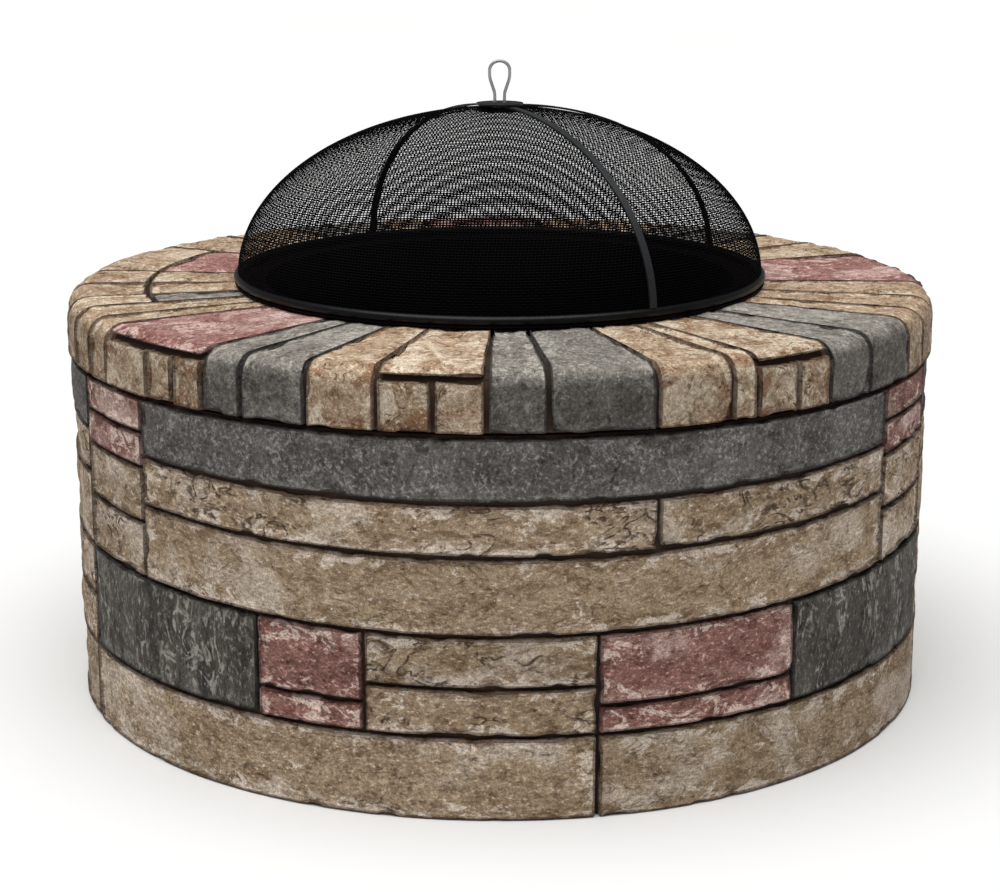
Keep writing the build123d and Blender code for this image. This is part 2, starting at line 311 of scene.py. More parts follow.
@dataclass(frozen=True)
class StoneFinish:
    """Look of one kind of stone, read from the attributes that StoneCarver leaves on its meshes."""

    name: str
    body: Colour
    light: Colour  # bleached and freshly chipped stone
    shade: Colour
    stain: Colour
    stain_share: float
    pit: Colour
    vein: Colour
    mottle: float  # patches of shade in a metre
    vein_scale: float
    vein_width: float
    vein_share: float
    fleck: Colour
    fleck_share: float
    bedding: Triple  # how the pattern is squeezed along, into and up the stone
    speckle: float  # how strongly the fine grain darkens and lightens
    relief: float
    upright_painted_shade: float = 1.0  # painted shade: brightness painted on upright faces against those open to the sky
    vein_cut: float = 0.0  # how deeply the veins are cut into the face
    bleaching: float = 15.0  # broad bleached areas in a metre
    staining: float = 44.0  # stains and chipped patches in a metre
    grains: float = 260.0  # coarse grains in a metre
    sand: float = 640.0  # fine grains in a metre
    chip_reach: float = 24 * MM  # how far from a joint the chipped patches lie
    rim_reach: tuple[float, float] = (0.3 * MM, 1.4 * MM)  # where the darkening along a joint's edge fades out

    def veins(self, graph: Graph, place: bpy.types.NodeSocket) -> bpy.types.NodeSocket:
        """Mask of thin wandering lines that come and go."""
        source = graph.noise(place, self.vein_scale, 2.0, 0.5, 1.6)
        line = graph.maths("ABSOLUTE", graph.maths("SUBTRACT", source, 0.5), 0.0)
        line = graph.span(line, 0.0, self.vein_width, 1.0, 0.0)
        shown = graph.span(graph.noise(place, self.vein_scale * 0.6, 1.0, 0.5), 0.46, 0.56)
        broken = graph.span(graph.noise(place, self.vein_scale * 2.6, 2.0, 0.6), 0.42, 0.52)
        shown = graph.maths("MULTIPLY", shown, broken)
        return graph.maths("MULTIPLY", graph.maths("MULTIPLY", line, shown), self.vein_share)

    def material(self) -> bpy.types.Material:
        """Builds the node tree: bedded colour, stains, veins, pits, chipped edges, grain and
        painted shade on upright faces.
        """
        graph = Graph(self.name)
        place = graph.attribute("grain", "Vector")
        reach = graph.attribute("reach", "Fac")
        bedded = graph.stretch(place, self.bedding)
        broad = graph.noise(bedded, self.bleaching, 4.0, 0.6, 0.5)
        middle = graph.noise(bedded, self.mottle, 5.0, 0.66, 0.5)
        fine = graph.noise(bedded, self.grains, 3.0, 0.7)
        grit = graph.noise(place, self.sand, 1.0, 0.5)
        colour = graph.mix(graph.span(middle, 0.34, 0.58), self.shade, self.body)
        colour = graph.mix(graph.span(broad, 0.50, 0.64, 0.0, 0.5), colour, self.light)
        patches = graph.noise(bedded, self.staining, 6.0, 0.7, 0.9)
        stain = graph.span(patches, 0.68 - self.stain_share * 0.3, 0.74 - self.stain_share * 0.24)
        colour = graph.mix(graph.maths("MULTIPLY", stain, 0.72), colour, self.stain)
        nearness = graph.span(reach, 0.0, self.chip_reach, 0.13, 0.0)
        chips = graph.span(graph.maths("SUBTRACT", nearness, patches), -0.38, -0.34)
        chips = graph.maths("MULTIPLY", chips, graph.span(middle, 0.36, 0.46))
        colour = graph.mix(graph.maths("MULTIPLY", chips, 0.8), colour, self.light)
        veins = self.veins(graph, bedded)
        colour = graph.mix(veins, colour, self.vein)
        fleck = graph.maths("MULTIPLY", graph.span(fine, 0.57, 0.68), self.fleck_share)
        colour = graph.mix(fleck, colour, self.fleck)
        hollows = graph.span(middle, 0.34, 0.50, 1.0, 0.0)
        pits = graph.maths("MULTIPLY", graph.span(fine, 0.30, 0.40, 1.0, 0.0), hollows)
        colour = graph.mix(graph.maths("MULTIPLY", pits, 0.8), colour, self.pit)
        # darker right at the edge beside a joint
        rim = graph.span(reach, *self.rim_reach, 0.7, 0.0)
        colour = graph.mix(rim, colour, self.pit)
        grain = graph.span(fine, 0.34, 0.66, 1.0 - self.speckle, 1.0 + self.speckle)
        tone = graph.maths("ADD", grain, graph.span(grit, 0.3, 0.7, -self.speckle, self.speckle))
        cast = graph.span(graph.attribute("cast", "Fac"), -1.0, 1.0, 0.94, 1.06)
        # painted shade: faces that do not point up are darkened by the finish's factor for upright
        # faces
        sky = graph.span(graph.attribute("sky", "Fac"), 0.25, 0.9, self.upright_painted_shade, 1.0)
        tone = graph.maths("MULTIPLY", tone, graph.maths("MULTIPLY", cast, sky))
        colour = graph.mix(1.0, colour, graph.grey(tone), "MULTIPLY")
        height = graph.maths("MULTIPLY", middle, 1.2)
        height = graph.maths("ADD", height, graph.maths("MULTIPLY", fine, 0.7))
        height = graph.maths("ADD", height, graph.maths("MULTIPLY", patches, 0.9))
        height = graph.maths("SUBTRACT", height, graph.maths("MULTIPLY", pits, 0.35))
        height = graph.maths("SUBTRACT", height, graph.maths("MULTIPLY", veins, self.vein_cut))
        roughness = graph.span(fine, 0.3, 0.7, 0.95, 0.75)
        return graph.close(colour, roughness, height, self.relief, specular=0.3)


BUFF = StoneFinish(
    name="buff_sandstone",
    body=display(160, 139, 114),
    light=display(208, 194, 180),
    shade=display(122, 100, 76),
    stain=display(116, 90, 62),
    stain_share=0.3,
    pit=display(62, 42, 26),
    vein=display(64, 42, 26),
    mottle=78.0,
    vein_scale=40.0,
    vein_width=0.03,
    vein_share=0.5,
    fleck=display(214, 200, 182),
    fleck_share=0.5,
    bedding=(0.75, 1.0, 1.25),
    speckle=0.24,
    relief=2.8 * MM,
    vein_cut=0.5,
)
CRACKED_BUFF = replace(
    BUFF,
    name="cracked_buff_sandstone",
    stain=display(106, 80, 54),
    stain_share=0.42,
    vein_scale=34.0,
    vein_width=0.052,
    vein_share=0.85,
    speckle=0.22,
    relief=3.4 * MM,
    vein_cut=1.0,
)
RUSTY_BUFF = replace(
    BUFF,
    name="rusty_buff_sandstone",
    body=display(188, 164, 137),
    light=display(222, 205, 182),
    shade=display(152, 124, 96),
    stain=display(138, 96, 64),
    stain_share=0.5,
    pit=display(78, 48, 30),
    vein=display(96, 60, 38),
    mottle=70.0,
    vein_scale=44.0,
    vein_width=0.028,
    vein_share=0.75,
    fleck=display(232, 218, 196),
    bedding=(1.0, 0.8, 1.0),
    speckle=0.22,
    # painted shade on the coping's upright faces
    upright_painted_shade=0.68,
)
BAND_GREY = StoneFinish(
    name="band_slate",
    body=display(86, 82, 78),
    light=display(108, 105, 101),
    shade=display(64, 61, 57),
    stain=display(80, 72, 63),
    stain_share=0.15,
    pit=display(32, 28, 25),
    vein=display(148, 148, 144),
    mottle=96.0,
    vein_scale=70.0,
    vein_width=0.07,
    vein_share=0.5,
    fleck=display(150, 150, 146),
    fleck_share=0.5,
    bedding=(1.0, 1.0, 1.0),
    speckle=0.26,
    relief=1.8 * MM,
)
CAP_GREY = StoneFinish(
    name="cap_slate",
    body=display(138, 132, 124),
    light=display(172, 166, 156),
    shade=display(106, 100, 93),
    stain=display(120, 107, 90),
    stain_share=0.15,
    pit=display(40, 36, 33),
    vein=display(182, 180, 172),
    mottle=84.0,
    vein_scale=52.0,
    vein_width=0.024,
    vein_share=0.3,
    fleck=display(190, 188, 180),
    fleck_share=0.45,
    bedding=(1.0, 0.6, 1.0),
    speckle=0.26,
    relief=2.2 * MM,
    # painted shade on the coping's upright faces
    upright_painted_shade=0.39,
)
VEINED_GREY = StoneFinish(
    name="veined_slate",
    body=display(72, 68, 62),
    light=display(96, 93, 86),
    shade=display(46, 43, 38),
    stain=display(60, 53, 45),
    stain_share=0.1,
    pit=display(24, 21, 18),
    vein=display(160, 157, 148),
    mottle=60.0,
    vein_scale=34.0,
    vein_width=0.075,
    vein_share=0.7,
    fleck=display(150, 148, 140),
    fleck_share=0.45,
    bedding=(1.35, 1.0, 0.7),
    speckle=0.24,
    relief=2.4 * MM,
)
ROSE = StoneFinish(
    name="rose_sandstone",
    body=display(140, 101, 92),
    light=display(214, 192, 180),
    shade=display(106, 69, 62),
    stain=display(110, 64, 56),
    stain_share=0.35,
    pit=display(64, 34, 30),
    vein=display(82, 44, 38),
    mottle=70.0,
    vein_scale=30.0,
    vein_width=0.014,
    vein_share=0.6,
    fleck=display(214, 182, 172),
    fleck_share=0.5,
    bedding=(0.8, 1.0, 1.2),
    speckle=0.26,
    relief=2.6 * MM,
)
CAP_ROSE = replace(
    ROSE,
    name="cap_rose_sandstone",
    body=display(160, 116, 108),
    light=display(216, 186, 176),
    shade=display(128, 82, 76),
    stain=display(130, 76, 68),
    pit=display(70, 36, 32),
    vein=display(96, 50, 44),
    vein_scale=34.0,
    fleck=display(224, 192, 184),
    bedding=(1.0, 0.8, 1.0),
    # painted shade on the coping's upright faces
    upright_painted_shade=0.7,
)


@dataclass(frozen=True)
class MetalFinish:
    """Painted, sooted or bright metal, mottled in the object's own coordinates."""

    name: str
    body: Colour
    bloom: Colour  # dust, ash or scale that lies on it
    bloom_share: float
    roughness: tuple[float, float]
    grain: float  # cells in a metre
    relief: float
    metallic: float = 0.0
    specular: float = 0.5
    slot: str = ""  # the record's slot, for a piece that stands in for CAD nodes

    def material(self) -> bpy.types.Material:
        """Builds the node tree: broad bloom, fine grain and scuffed roughness."""
        graph = Graph(self.name)
        place = graph.place()
        broad = graph.noise(place, 9.0, 5.0, 0.6, 0.8)
        fine = graph.noise(place, self.grain, 4.0, 0.65)
        bloom = graph.maths("MULTIPLY", graph.span(broad, 0.42, 0.66), graph.span(fine, 0.35, 0.62))
        bloom = graph.maths("MULTIPLY", bloom, self.bloom_share)
        colour = graph.mix(bloom, self.body, self.bloom)
        roughness = graph.span(fine, 0.3, 0.7, *self.roughness)
        height = graph.maths("ADD", graph.maths("MULTIPLY", broad, 0.3), fine)
        return graph.close(colour, roughness, height, self.relief, self.metallic, self.specular)


@dataclass(frozen=True)
class EarthFinish:
    """Cast or trowelled masonry behind the stones."""

    name: str
    body: Colour
    shade: Colour
    grain: float
    relief: float

    def material(self) -> bpy.types.Material:
        """Builds the node tree: two tones of body with sand and small voids."""
        graph = Graph(self.name)
        place = graph.place()
        broad = graph.noise(place, 7.0, 4.0, 0.55)
        fine = graph.noise(place, self.grain, 5.0, 0.7)
        voids = graph.span(graph.cells(place, self.grain * 0.5), 0.05, 0.2, 1.0, 0.0)
        colour = graph.mix(graph.span(broad, 0.4, 0.62), self.body, self.shade)
        colour = graph.mix(graph.span(fine, 0.35, 0.65, 0.35, 0.0), colour, self.shade)
        colour = graph.mix(graph.maths("MULTIPLY", voids, 0.4), colour, self.shade)
        height = graph.maths("SUBTRACT", fine, voids)
        return graph.close(colour, 0.92, height, self.relief)


JOINT_MORTAR = EarthFinish(
    name="joint_mortar",
    body=display(70, 48, 33),
    shade=display(38, 25, 17),
    grain=260.0,
    relief=1.0 * MM,
)
CAST_CORE = EarthFinish(
    name="cast_core",
    body=display(120, 116, 110),
    shade=display(92, 88, 82),
    grain=140.0,
    relief=0.6 * MM,
)


# ---- stones ----------------------------------------------------------------------------------
@dataclass(frozen=True)
class Sector:
    """Where one solid of a node lies about the pit's axis, in radians and metres."""

    start: float
    end: float
    low: float
    high: float
    inner: float
    outer: float
    lip: float  # height of the underside of its outermost part
    foot: float  # outer radius just above its underside

    @property
    def middle(self) -> float:
        """The azimuth halfway between its ends."""
        return (self.start + self.end) / 2

    @property
    def width(self) -> float:
        """Its length along its outer arc."""
        return (self.end - self.start) * self.outer

    @property
    def depth(self) -> float:
        """How far it reaches in from its outer radius."""
        return self.outer - self.inner

    @classmethod
    def around(cls, points: Sequence[Vector]) -> Sector:
        """Measures the sector that a solid's corner points fill."""
        centre = sum(points, Vector()) / len(points)
        facing = math.atan2(centre.x, -centre.y)
        outer = max(math.hypot(p.x, p.y) for p in points)
        rim = [p for p in points if math.hypot(p.x, p.y) > outer - EDGE_SLACK]
        turns = []
        for point in rim:
            turn = math.atan2(point.x, -point.y) - facing
            turns.append((turn + math.pi) % (2 * math.pi) - math.pi)
        low = min(p.z for p in points)
        foot = max(math.hypot(p.x, p.y) for p in points if p.z < low + EDGE_SLACK)
        beyond = [p.z for p in points if math.hypot(p.x, p.y) > foot + SHORTEST_LIP]
        return cls(
            start=facing + min(turns),
            end=facing + max(turns),
            low=low,
            high=max(p.z for p in points),
            inner=min(math.hypot(p.x, p.y) for p in points),
            outer=outer,
            lip=min(beyond, default=low),
            foot=foot,
        )


def sectors(node: bpy.types.Object) -> list[Sector]:
    """The sectors of a node's separate solids, in order round the pit.

    Args:
        node: The CAD node's object, whose triangles are joined in a copy of its mesh.

    Returns:
        One sector for each solid, sorted by azimuth and height.
    """
    bm = bmesh.new()
    bm.from_mesh(node.data)
    bmesh.ops.remove_doubles(bm, verts=bm.verts, dist=MERGE_DISTANCE)
    waiting = set(bm.verts)
    found = []
    while waiting:
        front = [waiting.pop()]
        solid = []
        while front:
            vert = front.pop()
            solid.append(vert.co.copy())
            for edge in vert.link_edges:
                other = edge.other_vert(vert)
                if other in waiting:
                    waiting.remove(other)
                    front.append(other)
        found.append(Sector.around(solid))
    bm.free()
    return sorted(found, key=lambda s: (round(s.middle, 4), round(s.low, 4), s.outer))


@dataclass(frozen=True)
class Dressing:
    """How the mason leaves a stone's faces, in metres."""

    cell: float = 4.0 * MM  # side of a mesh cell
    arris: float = 1.5 * MM  # rounding of the edges
    swell: float = 1.3 * MM  # how far the face falls back at its edges
    relief: float = 2.4 * MM  # broad hollows
    ledge: float = 2.0 * MM  # steps that follow the bedding
    grit: float = 1.3 * MM
    chip: float = 1.8 * MM  # bites out of the arrises
    wander: float = 0.9 * MM  # how far the joint faces leave a straight line
    bedding: Triple = (0.55, 1.0, 1.4)


class StoneCarver:
    """Shapes the stones of one node in flat coordinates and bends them into their places.

    Flat coordinates are x along the stone's outer arc from its middle, y inwards from its outer
    face, and z its height above the ground.
    """

    nose: float = 21 * MM  # rounding of the coping's outer edge
    arc_steps: int = 6
    swell_reach: float = 11 * MM
    bite_reach: float = 3 * MM
    deepest: float = 4.5 * MM  # no hollow of a face goes deeper
    hollows: float = 22.0  # broad hollows in a metre
    ledges: float = 30.0
    grits: float = 95.0
    bites: float = 48.0
    waves: float = 26.0  # of a joint's face
    shifts: float = 9.0  # metres between the places where stones read the noise
    standing: tuple[float, float] = (-1.0 * MM, 0.6 * MM)  # how proud a stone stands
    lean: float = 1.0 * MM  # how much prouder one of its ends may be
    coarseness: tuple[float, float] = (0.6, 1.5)  # of one stone against its neighbours
    sharp_edge: float = math.radians(35)  # edges that turn further are rounded

    def __init__(
        self, dressing: Dressing, coping_top: float, coping_radius: float, seed: str
    ) -> None:
        """Sets the dressing, the coping's top and outer radius, and the seed of the unevenness."""
        self.dressing = dressing
        self.coping_top = coping_top
        self.coping_radius = coping_radius
        self.random = random.Random(seed)
        self.roughness = 1.0

    def at_nose(self, stone: Sector) -> bool:
        """Whether a coping stone reaches the coping's outer edge."""
        return stone.outer > self.coping_radius - self.nose

    def profile(self, stone: Sector, nosed: bool) -> list[tuple[float, float]]:
        """Outline of a stone's radial section.

        Args:
            stone: The stone's sector.
            nosed: Whether the coping's round nose runs over it.

        Returns:
            Points (y, z), from the bottom of the back round to the bottom of the front.
        """
        points = [(stone.depth, stone.low), (stone.depth, stone.high)]
        if not nosed or not self.at_nose(stone):
            return [*points, (0, stone.high), (0, stone.low)]
        spring = self.coping_top - self.nose
        face = self.coping_radius - stone.outer
        top = math.acos(min(1.0, (stone.high - spring) / self.nose))
        bottom = math.pi / 2 if stone.lip <= spring else math.acos((stone.lip - spring) / self.nose)
        for step in range(self.arc_steps + 1):
            angle = top + (bottom - top) * step / self.arc_steps
            y = self.nose * (1 - math.sin(angle)) - face
            points.append((y, spring + self.nose * math.cos(angle)))
        if stone.lip > stone.low:
            recess = stone.outer - stone.foot
            points += [(recess, stone.lip), (recess, stone.low)]
        else:
            points.append((0, stone.low))
        return points

    def blank(self, stone: Sector, nosed: bool) -> bmesh.types.BMesh:
        """The stone as a plain solid with rounded arrises, cut into even cells."""
        bm = bmesh.new()
        half = stone.width / 2
        ring = [bm.verts.new((-half, y, z)) for y, z in self.profile(stone, nosed)]
        end = bm.faces.new(ring)
        far = bmesh.ops.extrude_face_region(bm, geom=[end])["geom"]
        moved = [item for item in far if isinstance(item, bmesh.types.BMVert)]
        bmesh.ops.translate(bm, vec=(stone.width, 0, 0), verts=moved)
        bmesh.ops.recalc_face_normals(bm, faces=bm.faces)
        sharp = [edge for edge in bm.edges if edge.calc_face_angle(0.0) > self.sharp_edge]
        bmesh.ops.bevel(
            bm,
            geom=sharp,
            offset=self.dressing.arris,
            segments=2,
            profile=0.5,
            affect="EDGES",
            clamp_overlap=True,
            material=-1,
        )
        for axis in range(3):
            self.divide(bm, axis)
        return bm

    def divide(self, bm: bmesh.types.BMesh, axis: int) -> None:
        """Cuts every long edge that runs along one axis into cells."""
        by_cuts: dict[int, list[bmesh.types.BMEdge]] = {}
        for edge in bm.edges:
            run = edge.verts[1].co - edge.verts[0].co
            cuts = round(run.length / self.dressing.cell) - 1
            if cuts > 0 and abs(run[axis]) > 0.999 * run.length:
                by_cuts.setdefault(cuts, []).append(edge)
        for cuts, edges in sorted(by_cuts.items()):
            bmesh.ops.subdivide_edges(bm, edges=edges, cuts=cuts, use_grid_fill=False)

    def reach(self, stone: Sector, point: Vector, nosed: bool) -> float:
        """How far a point is from the nearest joint beside its stone."""
        shrink = (stone.outer - point.y) / stone.outer
        reaches = [(stone.width / 2 - abs(point.x)) * shrink, point.z - stone.lip]
        if not nosed or stone.high < self.coping_top - MM:
            reaches.append(stone.high - point.z)
        if point.z < stone.lip - MM:
            reaches[1] = point.z - stone.low
        if nosed:
            reaches.append(stone.depth - point.y)
            if not self.at_nose(stone):
                reaches.append(point.y)
        return max(0.0, min(reaches))

    def sink(self, point: Vector, reach: float, facing: float, shift: Vector) -> float:
        """How far weathering moves a point along its normal; below 0 is into the stone.

        Args:
            point: The point in flat coordinates.
            reach: Its distance from the nearest joint.
            facing: 1 on a face that shows, 0 on a joint's face.
            shift: The stone's own offset in the noise.

        Returns:
            The move in metres.
        """
        dressing = self.dressing
        place = point + shift
        bedded = Vector(a * b for a, b in zip(place, dressing.bedding))
        broad = noise.fractal(bedded * self.hollows, 1.0, 2.0, 3)
        step = smoothstep(0.02, 0.22, noise.noise(bedded * self.ledges))
        grit = abs(noise.fractal(bedded * self.grits, 0.9, 2.0, 3))
        bite = smoothstep(0.12, 0.45, noise.noise(place * self.bites))
        bite *= math.exp(-((reach / self.bite_reach) ** 2))
        swell = math.exp(-((reach / self.swell_reach) ** 2))
        shown = dressing.relief * (0.5 + 0.6 * broad) + dressing.ledge * step + dressing.grit * grit
        shown = shown * self.roughness + dressing.swell * swell
        shown = self.deepest * math.tanh(shown / self.deepest)
        hidden = dressing.wander * noise.noise(place * self.waves)
        return -(facing * shown + (1 - facing) * hidden + dressing.chip * bite)

    def weather(self, bm: bmesh.types.BMesh, stone: Sector, nosed: bool) -> None:
        """Roughens a blank and leaves the attributes that the finish reads."""
        grain = bm.verts.layers.float_vector.new("grain")
        reached = bm.verts.layers.float.new("reach")
        sky = bm.verts.layers.float.new("sky")
        cast = bm.verts.layers.float.new("cast")
        shift = Vector(self.random.uniform(-self.shifts, self.shifts) for _ in range(3))
        tone = self.random.uniform(-1, 1)
        proud = self.random.uniform(*self.standing)
        tilt = self.random.uniform(-self.lean, self.lean)
        self.roughness = self.random.uniform(*self.coarseness)
        upright = not nosed or self.at_nose(stone)
        bm.normal_update()
        normals = {vert: vert.normal.copy() for vert in bm.verts}
        for vert, normal in normals.items():
            point = vert.co.copy()
            reach = self.reach(stone, point, nosed)
            facing = max(0.0, -normal.y if upright else 0.0, normal.z if nosed else 0.0)
            shrink = (stone.outer - point.y) / stone.outer
            vert[grain] = Vector((point.x * shrink, point.y, point.z)) + shift
            vert[reached] = reach
            # how far the face points up, which the finish uses to paint shade on upright faces
            vert[sky] = max(0.0, normal.z)
            vert[cast] = tone
            vert.co = point + normal * self.sink(point, reach, facing, shift)
            vert.co.y -= facing * (proud + tilt * 2 * point.x / stone.width)

    def bend(self, bm: bmesh.types.BMesh, stone: Sector) -> None:
        """Takes a stone from flat coordinates to its place round the pit."""
        for vert in bm.verts:
            azimuth = stone.middle + vert.co.x / stone.outer
            height = vert.co.z + course_drift(azimuth, vert.co.z)
            vert.co = on_circle(stone.outer - vert.co.y, azimuth, height)

    def carve(self, stones: Sequence[Sector], nosed: bool) -> bmesh.types.BMesh:
        """All of one node's stones in one bmesh.

        Args:
            stones: Their sectors.
            nosed: Whether they are coping stones.

        Returns:
            The stones, weathered and in place.
        """
        gathered = bmesh.new()
        for stone in stones:
            bm = self.blank(stone, nosed)
            self.weather(bm, stone, nosed)
            self.bend(bm, stone)
            one = bpy.data.meshes.new("stone")
            bm.to_mesh(one)
            bm.free()
            gathered.from_mesh(one)
            bpy.data.meshes.remove(one)
        return gathered


def course_drift(azimuth: float, height: float) -> float:
    """How far the bed joints wander up or down there: none at the foot and under the coping."""
    low, high = DRIFT_SPAN
    if not low < height < high:
        return 0.0
    swing = math.sin(math.pi * (height - low) / (high - low))
    return DRIFT * (math.sin(azimuth) ** 2 - 0.4) * swing


@dataclass(frozen=True)
class Masonry:
    """The facing stones and the coping of the pit, on its core."""

    wall: Dressing = Dressing()
    slate: Dressing = Dressing(ledge=0.6 * MM, grit=1.1 * MM, bedding=(0.8, 1.0, 0.9))
    coping: Dressing = Dressing(
        cell=4.5 * MM, relief=2.2 * MM, ledge=1.7 * MM, bedding=(0.9, 0.6, 1.2)
    )
    pointing: float = 7.5 * MM  # how far behind the faces the mortar stops
    joint_steps: int = 240  # flats round the mortar
    ground_gap: float = 2 * MM  # between the ground and the pointing

    def rows(self, nodes: Nodes) -> Iterator[tuple[str, StoneFinish, Stone, Dressing, bool]]:
        """Each stone node with its finish, slot, dressing, and whether it is coping."""
        for node in sorted(nodes):
            if node.startswith("cap_") and node != "cap_mortar_bed":
                if "grey" in node:
                    yield node, CAP_GREY, Stone.GREY, self.coping, True
                elif "rose" in node:
                    yield node, CAP_ROSE, Stone.ROSE, self.coping, True
                else:
                    yield node, RUSTY_BUFF, Stone.BUFF, self.coping, True
            elif "rose" in node:
                yield node, ROSE, Stone.ROSE, self.wall, False
            elif "grey" in node:
                yield node, VEINED_GREY, Stone.GREY, self.slate, False
            elif node.startswith("band_"):
                yield node, BAND_GREY, Stone.GREY, self.slate, False
            elif node.startswith(("strip_", "column_", "block_")):
                yield node, CRACKED_BUFF, Stone.BUFF, self.wall, False
            elif node.startswith(("base_", "long_")):
                yield node, BUFF, Stone.BUFF, self.wall, False

    def build(self, nodes: Nodes) -> None:
        """Replaces every stone node with carved stones, and finishes the core and the mortar."""
        coping = sectors(nodes["cap_buff_stones"])
        top = max(stone.high for stone in coping)
        edge = max(stone.outer for stone in coping)
        materials: dict[str, bpy.types.Material] = {}
        for node, finish, stone, dressing, nosed in self.rows(nodes):
            if finish.name not in materials:
                materials[finish.name] = finish.material()
            carver = StoneCarver(dressing, top, edge, node)
            bm = carver.carve(sectors(nodes[node]), nosed)
            piece = to_object(f"{node}_dressed", bm, materials[finish.name])
            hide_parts(node)
            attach(piece, "pit_ring")
            report(piece)
        mortar = JOINT_MORTAR.material()
        self.point_joints(nodes, mortar)
        paint(nodes, ("setting_mortar", "cap_mortar_bed"), mortar)
        paint(nodes, ("core_ring",), CAST_CORE.material())

    def point_joints(self, nodes: Nodes, mortar: bpy.types.Material) -> None:
        """Fills the open joints with mortar up to a few millimetres behind the faces.

        Args:
            nodes: The CAD nodes by name.
            mortar: The mortar's material.
        """
        coping = sectors(nodes["cap_buff_stones"])
        bed = sectors(nodes["cap_mortar_bed"])[0]
        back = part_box("setting_mortar")[1].x
        skin = max(stone.outer for stone in sectors(nodes["long_stone_1"])) - self.pointing
        hearth = min(stone.inner for stone in coping) + self.pointing
        edge = max(stone.outer for stone in coping) - self.pointing
        top = max(stone.high for stone in coping) - self.pointing
        nose = StoneCarver.nose - self.pointing
        outline = [(hearth, bed.high), (hearth, top)]
        for step in range(StoneCarver.arc_steps + 1):
            angle = math.pi / 2 * step / StoneCarver.arc_steps
            radius = edge - nose * (1 - math.sin(angle))
            outline.append((radius, top - nose * (1 - math.cos(angle))))
        outline.append((edge, bed.high))
        foot = self.ground_gap
        facing = [(back, foot), (back, bed.low), (skin, bed.low), (skin, foot)]
        bm = bmesh.new()
        for points in (facing, outline):
            ring = [bm.verts.new((radius, 0.0, height)) for radius, height in points]
            edges = [bm.edges.new(pair) for pair in zip(ring, ring[1:] + ring[:1])]
            bmesh.ops.spin(
                bm,
                geom=[*ring, *edges],
                axis=(0, 0, 1),
                cent=(0, 0, 0),
                angle=2 * math.pi,
                steps=self.joint_steps,
                use_merge=True,
            )
        bmesh.ops.remove_doubles(bm, verts=bm.verts, dist=MERGE_DISTANCE)
        bmesh.ops.recalc_face_normals(bm, faces=bm.faces)
        piece = to_object("joint_pointing", bm, mortar)
        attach(piece, "pit_ring")
        report(piece)


def paint(nodes: Nodes, names: Sequence[str], material: bpy.types.Material) -> None:
    """Gives those CAD nodes that material."""
    for name in names:
        mesh = nodes[name].data
        mesh.materials.clear()
        mesh.materials.append(material)
        log.info("%s: %s", name, material.name)


# ---- fire bowl and grate ---------------------------------------------------------------------
SOOTED_STEEL = MetalFinish(
    name="sooted_steel",
    body=display(10, 3, 8),
    bloom=display(24, 15, 18),
    bloom_share=0.5,
    roughness=(0.6, 0.85),
    grain=160.0,
    relief=0.3 * MM,
    specular=0.06,
)
SCALED_STEEL = MetalFinish(
    name="scaled_steel",
    body=display(20, 15, 15),
    bloom=display(56, 36, 30),
    bloom_share=0.5,
    roughness=(0.5, 0.85),
    metallic=0.2,
    grain=420.0,
    relief=0.25 * MM,
)
SATIN_BLACK = MetalFinish(
    name="satin_black_paint",
    body=display(7, 8, 10),
    # partly faint dust, partly a painted highlight: the bloom is tinted blue-grey
    bloom=display(30, 33, 38),
    bloom_share=0.3,
    roughness=(0.3, 0.45),
    grain=700.0,
    relief=0.08 * MM,
    specular=0.22,
)
# painted sheen: a lighter copy of the straps' black paint, with a lighter body and pale bloom, for
# the first strap only
SHEEN_STRAP_BLACK = MetalFinish(
    name="strap_black_painted_sheen",
    body=display(26, 28, 31),
    bloom=display(66, 69, 74),
    bloom_share=0.5,
    roughness=(0.45, 0.65),
    grain=520.0,
    relief=0.08 * MM,
    specular=0.4,
)
BLACK_WIRE = MetalFinish(
    name="black_wire",
    slot="screen_mesh",
    body=display(6, 5, 7),
    bloom=display(20, 19, 20),
    bloom_share=0.3,
    roughness=(0.6, 0.8),
    grain=900.0,
    relief=0.04 * MM,
    specular=0.03,
)
BRIGHT_WIRE = MetalFinish(
    name="bright_wire",
    body=display(172, 174, 178),
    bloom=display(112, 108, 104),
    bloom_share=0.5,
    roughness=(0.22, 0.45),
    metallic=0.6,
    grain=900.0,
    relief=0.03 * MM,
)


@dataclass(frozen=True)
class Hearth:
    """The drop-in fire bowl and the wood grate that stands in it."""

    def build(self, nodes: Nodes) -> None:
        """Finishes the bowl and the grate's rods."""
        paint(nodes, ("fire_bowl",), SOOTED_STEEL.material())
        rods = ("grate_ring", "grate_bars", "grate_carriers", "grate_legs")
        paint(nodes, rods, SCALED_STEEL.material())


